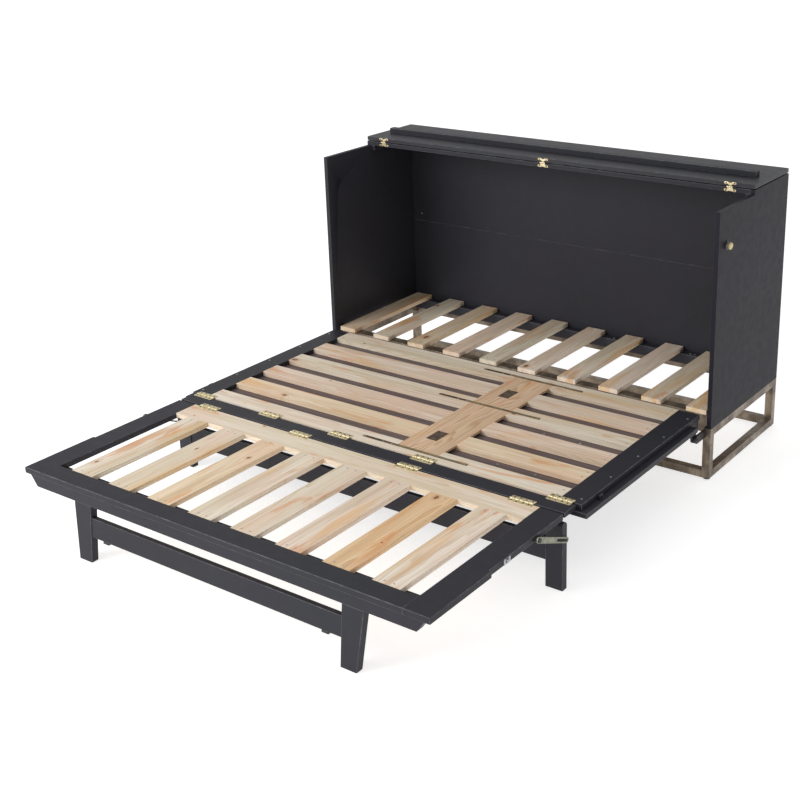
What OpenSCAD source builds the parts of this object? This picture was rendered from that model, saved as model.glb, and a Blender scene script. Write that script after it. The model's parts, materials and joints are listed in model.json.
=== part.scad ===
// Cabinet murphy bed on a metal sled base, drawn open.
// Millimetres, +Z up. The cabinet stands at +Y, the foot of the bed points to -Y.
// In the modules y = 0 is the front edge of the side panels. place() moves
// everything so that the middle of the footprint on the floor is the origin.

/* [Part to draw] */
// Sub-part to draw, or all

/* [Cabinet] */
// Width over the side panels
width = 1660; // [1500:10:1800]
// Depth of the side panels
depth = 560; // [480:5:640]
// Thickness of the painted boards
board = 16; // [12:1:22]
// Underside of the side panels
panel_base = 188; // [150:2:230]
// Underside of the fixed top board
top_base = 940; // [880:5:1020]
// Depth of the fixed top board
top_depth = 289; // [240:1:320]
// Joint between the two back boards
back_joint = 570; // [400:10:800]

/* [Metal base] */
// Side of the square tube
tube = 28; // [20:1:40]
// Wall of the square tube
tube_wall = 2; // [1.5:0.5:3]
// Height of the floor glides
glide = 4; // [3:1:8]

/* [Bed platform] */
// Top of the slats
platform = 244; // [220:2:280]
// Thickness of a slat
slat_thick = 16; // [12:1:20]
// Width of the slats in the cabinet and the middle section
slat_wide = 75; // [60:1:95]
// Spacing of the slats in the cabinet
head_pitch = 170; // [150:5:190]
// Spacing of the slats in the middle section
middle_pitch = 141.4; // [120:0.2:160]
// Width of the slats in the foot section
foot_slat_wide = 94; // [70:1:110]
// Spacing of the slats in the foot section
foot_pitch = 171.7; // [150:0.1:190]

/* [Folding] */
// Main pivot, distance in front of the cabinet
pivot_y = -61; // [-80:1:-50]
// Main pivot, height
pivot_z = 169; // [150:1:180]
// First row of hinges, distance in front of the cabinet
row_one = -810; // [-820:1:-800]
// Second row of hinges, distance in front of the cabinet
row_two = -881; // [-890:1:-870]
// Foot end of the bed, distance in front of the cabinet
foot_end = -1540; // [-1560:5:-1500]

/* [Front legs] */
// Height of the hinge line of the front legs
front_hinge_z = 188; // [180:1:200]
// Slant of the front legs in degrees
lean = 5.83; // [0:0.01:10]
// Thickness of the front legs
front_leg_thick = 25.9; // [20:0.1:30]

/* [Rear legs] */
// Hinge line of the rear legs, distance in front of the cabinet
rear_hinge_y = -885; // [-890:1:-870]
// Height of the hinge line of the rear legs
rear_hinge_z = 207; // [200:1:210]
// Thickness of the rear legs
rear_leg_thick = 24; // [20:1:26]

/* [Hidden] */
$fn = 48;

half = width/2;
inner = half - board;
top_front = depth - top_depth;
top_high = top_base + board;
slat_base = platform - slat_thick;

// Lid: it lies on its back over the fixed top
lid_axis_y = top_front - 3.6;
lid_axis_z = top_high + 1.5;
lid_base = top_high + 3;

// Middle section
rail_base = 226;
rail_in = 722;
rail_out = 799;
middle_first = -24;
middle_last = row_one + 4;
face_half = 824;
centre_x0 = 92;
centre_x1 = 254;
centre_thick = 8;
strap_y = [-61.5, -344.3, -768.5];

// Hinge rows
row_z = platform + 1;
hinge_long = 95;
row_one_x = [-730, -420, -110, 230, 730];
row_two_x = [-641, -225, 223, 641];
lid_hinge_x = [-745, 0, 740];

// Foot section
foot_in = 705;
foot_narrow = 784;
foot_wide = 792;
foot_step = -1264;
foot_base = 224;
header_front = -976;
slat_front = -1472;
apron_base = 186;
apron_back = -1512;

// Front legs
front_hinge_y = apron_back + 3.6;
front_leg_back = 2.1;
toe_y = front_hinge_y - front_hinge_z*tan(lean)
      - (front_leg_thick - front_leg_back)/cos(lean);

// Rear legs and their braces
rear_leg_in = 731;
rear_leg_out = 790;
brace_y = -1035;
brace_z = 232;
stud_z = 165;

// Side latches
latch_y = 60;
latch_z = 817;

y_shift = -(toe_y + depth)/2;

charcoal = [0.16, 0.17, 0.19];
pine = [0.87, 0.76, 0.60];
bronze = [0.42, 0.33, 0.26];
brass = [0.80, 0.65, 0.30];
steel = [0.75, 0.76, 0.78];
black = [0.08, 0.08, 0.08];
webbing = [0.30, 0.24, 0.17];

// ---- Helpers ----

module place() translate([0, y_shift, 0]) children();

module block(x, y, z)
  translate([min(x), min(y), min(z)])
    cube([abs(x[1] - x[0]), abs(y[1] - y[0]), abs(z[1] - z[0])]);

module rod(x, y, z, r)
  translate([min(x), y, z]) rotate([0, 90, 0]) cylinder(h = abs(x[1] - x[0]), r = r);

// Flat outline in Y and Z, drawn from x = 0 to x = thick
module side_plate(thick, points)
  rotate([90, 0, 90]) linear_extrude(thick) polygon(points);

module both_sides() {
  children();
  mirror([1, 0, 0]) children();
}

// Hinge leaf with the two outer knuckles and the pin; its axis is the X axis,
// the leaf lies towards +Y and its underside is at height low
module pin_leaf(long, wide, low, knuckle) {
  inner_long = long/3;
  translate([-long/2, 4, low]) cube([long, wide - 4, 1.5]);
  for (s = [-1, 1]) {
    x0 = s*(inner_long/2 + 0.4);
    x1 = s*long/2;
    block([x0, x1], [0, 4.2], [low, low + 1.5]);
    rod([x0, x1], 0, 0, knuckle);
  }
  rod([-long/2, long/2], 0, 0, 1.5);
}

// The matching leaf with the middle knuckle, bored for the pin
module bored_leaf(long, wide, low, knuckle) {
  inner_long = long/3;
  difference() {
    union() {
      translate([-long/2, 4, low]) cube([long, wide - 4, 1.5]);
      block([-inner_long/2, inner_long/2], [0, 4.2], [low, low + 1.5]);
      rod([-inner_long/2, inner_long/2], 0, 0, knuckle);
    }
    rod([-inner_long/2 - 1, inner_long/2 + 1], 0, 0, 1.56);
  }
}

// ---- Cabinet ----

// Side panel with its lower front half, drawn on the right
module side_panel()
  difference() {
    translate([inner, 0, 0])
      side_plate(board, [
        [0, panel_base], [depth, panel_base], [depth, top_high], [top_front, top_high],
        [top_front, top_base - 0.5], [0, top_base - 0.5]
      ]);
    rod([inner - 1, half + 1], latch_y, latch_z, 4.05);
  }

module left_side_panel() color(charcoal) place() mirror([1, 0, 0]) side_panel();
module right_side_panel() color(charcoal) place() side_panel();

module fixed_top()
  color(charcoal) place()
    block([-inner, inner], [top_front, depth], [top_base, top_high]);

module lower_back_board()
  color(charcoal) place()
    block([-inner, inner], [depth - 15, depth - 3], [panel_base, back_joint - 1]);

module upper_back_board()
  color(charcoal) place()
    block([-inner, inner], [depth - 15, depth - 3], [back_joint, top_base]);

// Cleats that carry the fixed top along both side panels
module top_cleats()
  color(charcoal) place() both_sides()
    block([inner - 18, inner], [top_front + 2, depth - 16], [top_base - 20, top_base]);

// ---- Metal base ----

// One welded end loop of square tube, hollow inside, drawn on the right
module base_frame() {
  w = tube_wall;
  x0 = half - tube;
  difference() {
    block([x0, half], [0, depth], [glide, panel_base]);
    block([x0 - 1, half + 1], [tube, depth - tube], [glide + tube, panel_base - tube]);
    for (y = [0, depth - tube])
      block([x0 + w, half - w], [y + w, y + tube - w], [glide - 1, panel_base + 1]);
    for (z = [glide, panel_base - tube])
      block([x0 + w, half - w], [tube/2, depth - tube/2], [z + w, z + tube - w]);
  }
}

module left_base_frame() color(bronze) place() mirror([1, 0, 0]) base_frame();
module right_base_frame() color(bronze) place() base_frame();

module cross_tube(y, z) {
  w = tube_wall;
  x = half - tube;
  difference() {
    block([-x, x], [y, y + tube], [z, z + tube]);
    block([-x - 1, x + 1], [y + w, y + tube - w], [z + w, z + tube - w]);
  }
}

module base_cross_tubes()
  color(bronze) place() {
    for (y = [0, depth - tube]) cross_tube(y, glide);
    for (y = [tube, depth - tube]) cross_tube(y, panel_base - tube);
  }

module floor_glides()
  color(black) place() both_sides()
    for (y = [tube/2, depth - tube/2])
      translate([half - tube/2, y, 0]) cylinder(h = glide, r = 12);

// ---- Head part of the platform, inside the cabinet ----

// Square tube between the side panels under the first slats
module front_slat_rail()
  color(bronze) place()
    difference() {
      block([-inner, inner], [26, 66], [panel_base, slat_base]);
      block([-inner - 1, inner + 1], [28, 64], [panel_base + 2, slat_base - 2]);
    }

module rear_slat_rail()
  color(charcoal) place() block([-inner, inner], [504, depth - 16], [panel_base, slat_base]);

module head_slats()
  color(pine) place()
    for (i = [0:9])
      block([-slat_wide/2, slat_wide/2] + (i - 4.5)*head_pitch*[1, 1],
            [18, 540], [slat_base, platform]);

// Lugs on the front posts with the pin the whole bed swings on
module pivot_brackets()
  color(steel) place() both_sides() {
    block([803, 811], [pivot_y, 0], [155, 183]);
    rod([803, 811], pivot_y, pivot_z, 14);
    rod([789, 813], pivot_y, pivot_z, 5);
  }

module lid_hinge_lower()
  color(brass) place()
    for (x = lid_hinge_x)
      translate([x, lid_axis_y, lid_axis_z]) rotate([-90, 0, 0])
        pin_leaf(55, 16.5, 2.1, 3.2);

module latch_plates()
  color(brass) place() both_sides()
    difference() {
      rod([half, half + 2], latch_y, latch_z, 16);
      rod([half - 1, half + 3], latch_y, latch_z, 4.05);
    }

// ---- Lid ----

module lid_panel()
  color(charcoal) place()
    block([-half + 1, half - 1], [top_front, depth], [lid_base, lid_base + board]);

module lid_strip()
  color(charcoal) place()
    block([-790, 790], [369, 397], [lid_base + board, lid_base + board + 20]);

module lid_hinge_upper()
  color(brass) place()
    for (x = lid_hinge_x)
      translate([x, lid_axis_y, lid_axis_z]) rotate([90, 0, 0])
        bored_leaf(55, 16.5, -3.6, 3.2);

// ---- Side latches ----

// Round knob, spindle through the panel and inner cam, drawn on the right
module latch() {
  rod([inner - 6, half + 4], latch_y, latch_z, 4);
  rod([half + 3, half + 18], latch_y, latch_z, 13);
  block([inner - 6, inner - 1], [latch_y - 5, latch_y + 5], [latch_z - 5, latch_z + 22]);
}

module left_latch() color(brass) place() mirror([1, 0, 0]) latch();
module right_latch() color(brass) place() latch();

// ---- Middle section ----

module middle_rail()
  block([rail_in, rail_out], [middle_last, middle_first], [rail_base, platform]);

module left_middle_rail() color(charcoal) place() mirror([1, 0, 0]) middle_rail();
module right_middle_rail() color(charcoal) place() middle_rail();

// Centre board, before its openings are cut
module centre_blank()
  block([centre_x0, centre_x1], [-766, -66], [platform - centre_thick, platform]);

// Flat steel straps let into the slats across the centre board
module straps()
  for (y = strap_y) block([-46, 370], [y - 7, y + 7], [platform - 2, platform]);

module pads(grow = 0)
  for (y = [-217, -639])
    block([140 - grow, 182 + grow], [y - 36 - grow, y + 36 + grow],
          [platform - centre_thick - 2*grow, platform - 1.5 + 3*grow]);

// Slat number i, counted from the cabinet, notched for the centre board
module middle_slat(i)
  color(pine) place()
    difference() {
      block([-rail_in, rail_in],
            [middle_first, middle_first - slat_wide] - (i - 1)*middle_pitch*[1, 1],
            [rail_base, platform]);
      centre_blank();
      straps();
    }

module middle_slat_1() middle_slat(1);
module middle_slat_2() middle_slat(2);
module middle_slat_3() middle_slat(3);
module middle_slat_4() middle_slat(4);
module middle_slat_5() middle_slat(5);
module middle_slat_6() middle_slat(6);

module centre_board()
  color(pine) place()
    difference() {
      centre_blank();
      straps();
      pads(1);
    }

module tie_straps() color(steel) place() straps();

module webbing_pads() color(webbing) place() pads();

// Board that closes the front of the cabinet
module face_panel()
  color(charcoal) place()
    block([-face_half, face_half], [row_one - 10, -88], [rail_base - board, rail_base]);

// Plates under the tails of the side rails, bored for the main pivot
module pivot_arms()
  color(steel) place() both_sides()
    difference() {
      union() {
        block([791, 799], [-86, -36], [pivot_z + 20, rail_base]);
        block([791, 799], [pivot_y - 14, pivot_y + 14], [pivot_z, pivot_z + 21]);
        rod([791, 799], pivot_y, pivot_z, 14);
      }
      rod([790, 800], pivot_y, pivot_z, 5.06);
    }

module row_one_middle_leaves()
  color(brass) place()
    for (x = row_one_x)
      translate([x, row_one, row_z]) pin_leaf(hinge_long, 22, -1, 3);

// Strikers that the side latches hold when the bed is shut
module middle_catches()
  color(steel) place() both_sides() {
    block([802, 812], [-722, -696], [rail_base, rail_base + 2]);
    block([804, 810], [-718, -714], [rail_base + 1, rail_base + 12]);
    block([804, 810], [-704, -700], [rail_base + 1, rail_base + 12]);
    block([804, 810], [-718, -700], [rail_base + 10, rail_base + 13]);
  }

// ---- Spine between the two rows of hinges ----

module spine_strip()
  color(charcoal) place()
    block([-foot_narrow, foot_narrow], [row_two + 4, row_one - 4], [slat_base, platform]);

module row_one_spine_leaves()
  color(brass) place()
    for (x = row_one_x)
      translate([x, row_one, row_z]) rotate([0, 0, 180])
        bored_leaf(hinge_long, 22, -1, 3);

module row_two_spine_leaves()
  color(brass) place()
    for (x = row_two_x)
      translate([x, row_two, row_z]) pin_leaf(hinge_long, 22, -1, 3);

// ---- Foot section ----

// Side rail, wider over its last part, drawn on the right
module foot_rail()
  translate([0, 0, foot_base])
    linear_extrude(platform - foot_base)
      polygon([
        [foot_in, foot_end], [foot_wide, foot_end], [foot_wide, foot_step],
        [foot_narrow, foot_step], [foot_narrow, row_two - 4], [foot_in, row_two - 4]
      ]);

module left_foot_rail() color(charcoal) place() mirror([1, 0, 0]) foot_rail();
module right_foot_rail() color(charcoal) place() foot_rail();

module foot_end_rail()
  color(charcoal) place()
    block([-foot_in, foot_in], [foot_end, slat_front], [foot_base, platform]);

// Apron under the end rail, its ends cut on a slant
module foot_apron()
  color(charcoal) place()
    translate([0, apron_back, 0]) rotate([90, 0, 0])
      linear_extrude(24)
        polygon([[-745, apron_base], [745, apron_base], [774, foot_base], [-774, foot_base]]);

module header_board()
  color(pine) place()
    block([-foot_in, foot_in], [header_front, row_two - 4], [slat_base, platform]);

module slat_ledgers()
  color(charcoal) place() {
    block([-foot_in, foot_in], [header_front + 12, header_front + 72], [slat_base - 8, slat_base]);
    block([-foot_in, foot_in], [slat_front, slat_front + 30], [slat_base - 20, slat_base]);
  }

module foot_slats()
  color(pine) place()
    for (i = [0:7])
      block([-foot_slat_wide/2, foot_slat_wide/2] + (i - 3.5)*foot_pitch*[1, 1],
            [slat_front, header_front], [slat_base, platform]);

module row_two_foot_leaves()
  color(brass) place()
    for (x = row_two_x)
      translate([x, row_two, row_z]) rotate([0, 0, 180])
        bored_leaf(hinge_long, 22, -1, 3);

module front_leg_hinge_upper()
  color(steel) place()
    for (x = [-534, 534])
      translate([x, front_hinge_y, front_hinge_z]) rotate([90, 0, 0])
        pin_leaf(50, 30, 2.1, 3.3);

// Hangers with the pins of the rear legs, and the bolts of the braces
module rear_leg_hardware()
  color(steel) place() both_sides() {
    block([724, 729], [rear_hinge_y - 14, rear_hinge_y + 14], [rear_hinge_z, foot_base]);
    rod([724, 729], rear_hinge_y, rear_hinge_z, 14);
    rod([724, rear_leg_out], rear_hinge_y, rear_hinge_z, 5);
    rod([foot_narrow, 799], brace_y, brace_z, 4);
    rod([foot_narrow, 792.5], brace_y, brace_z, 7);
    rod([797.5, 801], brace_y, brace_z, 7);
  }

module foot_catches()
  color(steel) place() both_sides() {
    block([foot_narrow, foot_narrow + 2], [-1196, -1164], [foot_base + 2, platform - 2]);
    block([foot_narrow + 1, foot_narrow + 6], [-1186, -1174], [foot_base + 6, platform - 5]);
  }

// ---- Front legs ----

// Leg frame coordinates: the hinge line is the X axis and the legs point down
module leaning()
  translate([0, front_hinge_y, front_hinge_z]) rotate([-lean, 0, 0]) children();

module front_leg()
  intersection() {
    leaning()
      translate([0, front_leg_back, 0]) rotate([90, 0, 0])
        linear_extrude(front_leg_thick)
          polygon([[497, -5.5], [572, -5.5], [552, -200], [497, -200]]);
    block([400, 700], [-1700, -1400], [0, 200]);
  }

module left_front_leg() color(charcoal) place() mirror([1, 0, 0]) front_leg();
module right_front_leg() color(charcoal) place() front_leg();

module front_stretcher()
  color(charcoal) place() leaning()
    block([-497, 497], [-20.8, -0.8], [-107, -44]);

// Small stops under the front stretcher
module stretcher_blocks()
  color(black) place() leaning() both_sides()
    block([425, 449], [-18, -4], [-115, -107]);

module front_leg_hinge_lower()
  color(steel) place() leaning()
    for (x = [-534, 534])
      translate([x, 0, 0]) rotate([-90, 0, 0]) bored_leaf(50, 30, 2.1, 3.3);

// ---- Rear legs ----

module rear_leg() {
  r = rear_leg_thick/2;
  difference() {
    union() {
      block([rear_leg_in, rear_leg_out], [rear_hinge_y - r, rear_hinge_y + r], [0, rear_hinge_z]);
      rod([rear_leg_in, rear_leg_out], rear_hinge_y, rear_hinge_z, r);
    }
    rod([rear_leg_in - 1, rear_leg_out + 1], rear_hinge_y, rear_hinge_z, 5.06);
  }
  rod([rear_leg_out - 1, 792.5], rear_hinge_y, stud_z, 4);
}

module left_rear_leg() color(charcoal) place() mirror([1, 0, 0]) rear_leg();
module right_rear_leg() color(charcoal) place() rear_leg();

module rear_stretcher()
  color(charcoal) place()
    block([-rear_leg_in, rear_leg_in], [rear_hinge_y - 9, rear_hinge_y + 9], [85, 160]);

// ---- Braces ----

// Slotted flat bar from the bolt on the foot rail to the stud on the rear leg
module brace() {
  dy = rear_hinge_y - brace_y;
  dz = stud_z - brace_z;
  reach = sqrt(dy*dy + dz*dz);
  translate([793, brace_y, brace_z]) rotate([atan2(dz, dy), 0, 0])
    difference() {
      union() {
        block([0, 4], [0, reach], [-9, 9]);
        rod([0, 4], 0, 0, 9);
        rod([0, 4], reach, 0, 9);
      }
      rod([-1, 5], 0, 0, 4.06);
      block([-1, 5], [reach - 56, reach], [-4.4, 4.4]);
      rod([-1, 5], reach, 0, 4.4);
      rod([-1, 5], reach - 56, 0, 4.4);
    }
}

module left_brace() color(steel) place() mirror([1, 0, 0]) brace();
module right_brace() color(steel) place() brace();

// ---- Assembly ----

left_side_panel();
right_side_panel();
fixed_top();
lower_back_board();
upper_back_board();
top_cleats();
left_base_frame();
right_base_frame();
base_cross_tubes();
floor_glides();
front_slat_rail();
rear_slat_rail();
head_slats();
pivot_brackets();
lid_hinge_lower();
latch_plates();
lid_panel();
lid_strip();
lid_hinge_upper();
left_latch();
right_latch();
left_middle_rail();
right_middle_rail();
middle_slat_1();
middle_slat_2();
middle_slat_3();
middle_slat_4();
middle_slat_5();
middle_slat_6();
centre_board();
face_panel();
pivot_arms();
tie_straps();
webbing_pads();
row_one_middle_leaves();
middle_catches();
spine_strip();
row_one_spine_leaves();
row_two_spine_leaves();
left_foot_rail();
right_foot_rail();
foot_end_rail();
foot_apron();
header_board();
slat_ledgers();
foot_slats();
row_two_foot_leaves();
front_leg_hinge_upper();
rear_leg_hardware();
foot_catches();
left_front_leg();
right_front_leg();
front_stretcher();
front_leg_hinge_lower();
left_rear_leg();
right_rear_leg();
rear_stretcher();
left_brace();
right_brace();
stretcher_blocks();
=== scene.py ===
"""Looks of the fold-out murphy wall bed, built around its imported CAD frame. Metres, +Z up."""

import json
import math
import random

import bmesh
import bpy
from mathutils import Matrix, Vector, noise


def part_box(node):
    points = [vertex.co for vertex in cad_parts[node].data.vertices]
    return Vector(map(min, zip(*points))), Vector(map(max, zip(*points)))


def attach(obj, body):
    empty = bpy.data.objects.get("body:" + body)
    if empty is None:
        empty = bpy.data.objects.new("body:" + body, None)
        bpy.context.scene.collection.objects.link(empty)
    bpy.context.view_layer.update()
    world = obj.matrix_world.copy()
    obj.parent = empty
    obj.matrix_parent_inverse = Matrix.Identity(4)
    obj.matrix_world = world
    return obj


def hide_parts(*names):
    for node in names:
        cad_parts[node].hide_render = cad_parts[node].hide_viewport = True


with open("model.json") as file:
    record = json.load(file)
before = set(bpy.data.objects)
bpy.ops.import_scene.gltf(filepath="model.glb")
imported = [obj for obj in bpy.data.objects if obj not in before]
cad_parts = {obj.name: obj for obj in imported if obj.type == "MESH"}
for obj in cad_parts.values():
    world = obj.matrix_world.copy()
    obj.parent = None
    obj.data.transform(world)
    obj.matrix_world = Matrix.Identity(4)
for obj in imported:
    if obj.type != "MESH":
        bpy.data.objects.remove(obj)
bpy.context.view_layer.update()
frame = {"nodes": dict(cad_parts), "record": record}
nodes = frame["nodes"]
body_of_node = {
    name: body
    for body, names in frame["record"]["behaviour"]["bodies"].items()
    for name in names
}
cad_slot = {name: node.data.materials[0].name for name, node in nodes.items()}
dice = random.Random(41)

MM = 0.001
WELD = 0.02 * MM
FLAT, SHARP = math.radians(0.5), math.radians(35)
X, Y, Z = Vector((1, 0, 0)), Vector((0, 1, 0)), Vector((0, 0, 1))
UNTURNED = Matrix.Identity(4)


# ---------------------------------------------------------------- materials


def tint(r, g, b):
    """An sRGB colour, 0 to 255, as a linear RGBA tuple."""

    def linear(v):
        v /= 255
        return v / 12.92 if v <= 0.04045 else ((v + 0.055) / 1.055) ** 2.4

    return (linear(r), linear(g), linear(b), 1.0)


class Shader:
    """A short way to build one node tree. Most methods return a socket."""

    def __init__(self, name):
        self.material = bpy.data.materials.new(name)
        self.material.use_nodes = True
        self.tree = self.material.node_tree
        self.tree.nodes.clear()
        self.output = self.tree.nodes.new("ShaderNodeOutputMaterial")

    def node(self, kind, inputs=None, **settings):
        """A new node; its inputs are sockets of other nodes or plain values."""
        node = self.tree.nodes.new("ShaderNode" + kind)
        for key, value in settings.items():
            setattr(node, key, value)
        for key, value in (inputs or {}).items():
            socket = node.inputs[key]
            if isinstance(value, bpy.types.NodeSocket):
                self.tree.links.new(value, socket)
            else:
                socket.default_value = value
        return node

    def add(self, kind, inputs=None, out=0, **settings):
        return self.node(kind, inputs, **settings).outputs[out]

    def place(self):
        """Object coordinates."""
        return self.add("TexCoord", out=3)

    def split(self, vector):
        return self.node("SeparateXYZ", {0: vector}).outputs

    def math(self, operation, a, b=0.0):
        return self.add("Math", {0: a, 1: b}, operation=operation)

    def plus(self, a, b):
        return self.math("ADD", a, b)

    def times(self, a, b):
        return self.math("MULTIPLY", a, b)

    def mix(self, factor, a, b, blend="MIX"):
        return self.add(
            "Mix", {0: factor, 6: a, 7: b}, out=2, data_type="RGBA", blend_type=blend
        )

    def over(self, base, mask, amount, colour):
        """Lays colour over base where the mask is 1, as strongly as amount."""
        return self.mix(self.times(mask, amount), base, colour)

    def scaled(self, vector, scale, offset=(0, 0, 0)):
        return self.add("Mapping", {0: vector, 1: offset, 3: scale})

    def shifted(self, vector, by, scale=1.0):
        """A vector moved by another one times scale."""
        step = self.add("VectorMath", {0: by, "Scale": scale}, operation="SCALE")
        return self.add("VectorMath", {0: vector, 1: step}, operation="ADD")

    def noise(self, vector, scale, detail=3.0, rough=0.55, warp=0.0, out=0):
        inputs = {
            "Vector": vector,
            "Scale": scale,
            "Detail": detail,
            "Roughness": rough,
            "Distortion": warp,
        }
        return self.add("TexNoise", inputs, out=out)

    def span(self, value, low, high, to_low=0.0, to_high=1.0, smooth=True):
        return self.add(
            "MapRange",
            {0: value, 1: low, 2: high, 3: to_low, 4: to_high},
            interpolation_type="SMOOTHSTEP" if smooth else "LINEAR",
        )

    def between(self, share, low, high):
        """A share from 0 to 1 as a number from low to high."""
        return self.span(share, 0.0, 1.0, low, high, smooth=False)

    def ramp(self, value, *colours):
        """Colours at even steps from 0 to 1."""
        node = self.node("ValToRGB", {0: value})
        points = node.color_ramp.elements
        points[0].color, points[1].color = colours[0], colours[-1]
        for i, colour in enumerate(colours[1:-1], 1):
            points.new(i / (len(colours) - 1)).color = colour
        return node.outputs[0]

    def bump(self, height, distance, strength):
        return self.add("Bump", {"Strength": strength, "Distance": distance, "Height": height})

    def surface(self, **inputs):
        named = {key.replace("_", " "): value for key, value in inputs.items()}
        shader = self.add("BsdfPrincipled", named)
        self.tree.links.new(shader, self.output.inputs[0])
        return self.material


# Bare veneer on the face panel shows only between its painted end strips.
VENEER_HALF, VENEER_FADE = 0.729, 0.005


def veneer(s, place, colour, dark, light):
    """Bare veneer over the paint of a board, on the face that the part turns up at rest."""
    fibre = s.noise(s.scaled(place, (3.0, 60.0, 60.0)), 1.0, 4, 0.65)
    wood = s.ramp(s.span(fibre, 0.3, 0.7), dark, light)
    across = s.math("ABSOLUTE", s.split(place)[0])
    inside = s.span(across, VENEER_HALF - VENEER_FADE, VENEER_HALF + VENEER_FADE, 1.0, 0.0)
    facing = s.split(s.add("TexCoord", out=1))[2]
    return s.mix(s.times(s.span(facing, 0.6, 0.9), inside), colour, wood)


def paint(name, dark, light, edge_highlight=None, bare=None, gloss=0.18):
    """Satin charcoal paint rolled on board.

    An edge colour, if given, is laid on in patches: painted highlight for rounded edges that catch
    the light. bare is the two colours of bare veneer."""
    s = Shader(name)
    place = s.place()
    cloud = s.noise(place, 2.3, 3, 0.5)
    mottle = s.noise(place, 26.0, 5, 0.6)
    tone = s.plus(s.times(cloud, 0.6), s.times(mottle, 0.4))
    colour = s.ramp(s.span(tone, 0.32, 0.68), dark, light)
    hue = s.noise(s.scaled(place, (1, 1, 1), (3.1, 0.7, 1.9)), 4.0, 2)
    colour = s.mix(s.span(hue, 0.42, 0.66), colour, (0.95, 1.02, 0.98, 1), "MULTIPLY")
    dust = s.span(s.noise(place, 420.0, 2, 0.6), 0.735, 0.79)
    colour = s.over(colour, dust, 0.35, tint(120, 120, 122))
    # Painted highlight: lighter paint in patches, for rounded edges that catch the light.
    if edge_highlight:
        highlight_patches = s.span(s.noise(place, 38.0, 4, 0.7), 0.42, 0.68)
        colour = s.over(colour, highlight_patches, 0.55, edge_highlight)
    if bare:
        colour = veneer(s, place, colour, *bare)
    roller = s.noise(place, 640.0, 3, 0.6)
    wave = s.noise(place, 55.0, 2, 0.5)
    return s.surface(
        Base_Color=colour,
        Roughness=s.span(s.noise(place, 34.0, 4, 0.6), 0.3, 0.7, 0.44, 0.5),
        Normal=s.bump(s.plus(roller, s.times(wave, 0.6)), 0.1 * MM, 0.35),
        Specular_IOR_Level=gloss,
    )


KNOT_CELLS = 6.4  # cells per metre, each of which may hold a knot
KNOT_RADIUS = 0.007  # of the largest knot
NO_KNOT = 0.58  # share of the cells that stay clear


def knots(s, local):
    """The distance from the nearest knot in knot radii, and whether there is a knot at all."""
    face = s.scaled(local, (0.62, 1.0, 0.0))
    cells = s.node(
        "TexVoronoi",
        {
            "Vector": s.shifted(face, s.noise(local, 45.0, 2, out=1), 0.006),
            "Scale": KNOT_CELLS,
            "Randomness": 1.0,
        },
        voronoi_dimensions="2D",
    )
    near = s.math("DIVIDE", cells.outputs["Distance"], KNOT_CELLS)
    draw = s.add("SeparateColor", {0: cells.outputs["Color"]})
    radius = s.span(draw, NO_KNOT, 1.0, 0.0, KNOT_RADIUS, smooth=False)
    ratio = s.math("DIVIDE", near, s.math("MAXIMUM", radius, 0.0001))
    return ratio, s.span(radius, 0.0008, 0.002)


def late_wood(s, place, local, board, swirl):
    """Dark bands of growth rings round a wandering pith below the board."""
    seed, rings_apart, figure = board
    wander = s.noise(s.scaled(local, (0.7, 5.0, 5.0)), 1.6, 3, 0.5, out=1)
    wander = s.add("VectorMath", {0: wander, 1: (0.5, 0.5, 0.5)}, operation="SUBTRACT")
    bent = s.shifted(place, wander, s.span(figure, 0.5, 0.8, 0.055, 0.12))
    along, aside, above = s.split(bent)
    tilt = s.times(along, s.between(seed, -0.05, 0.05))
    pith_aside = s.between(s.math("FRACT", s.times(seed, 7.3)), -0.035, 0.035)
    across = s.plus(s.plus(aside, tilt), pith_aside)
    deep = s.plus(above, s.between(rings_apart, 0.012, 0.07))
    distance = s.math("SQRT", s.plus(s.times(across, across), s.times(deep, deep)))
    distance = s.plus(distance, s.times(swirl, 0.012))
    ring = s.math("FRACT", s.times(distance, s.between(rings_apart, 230.0, 150.0)))
    return s.times(s.span(ring, 0.35, 0.9), s.span(ring, 0.93, 1.0, 1.0, 0.0))


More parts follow.
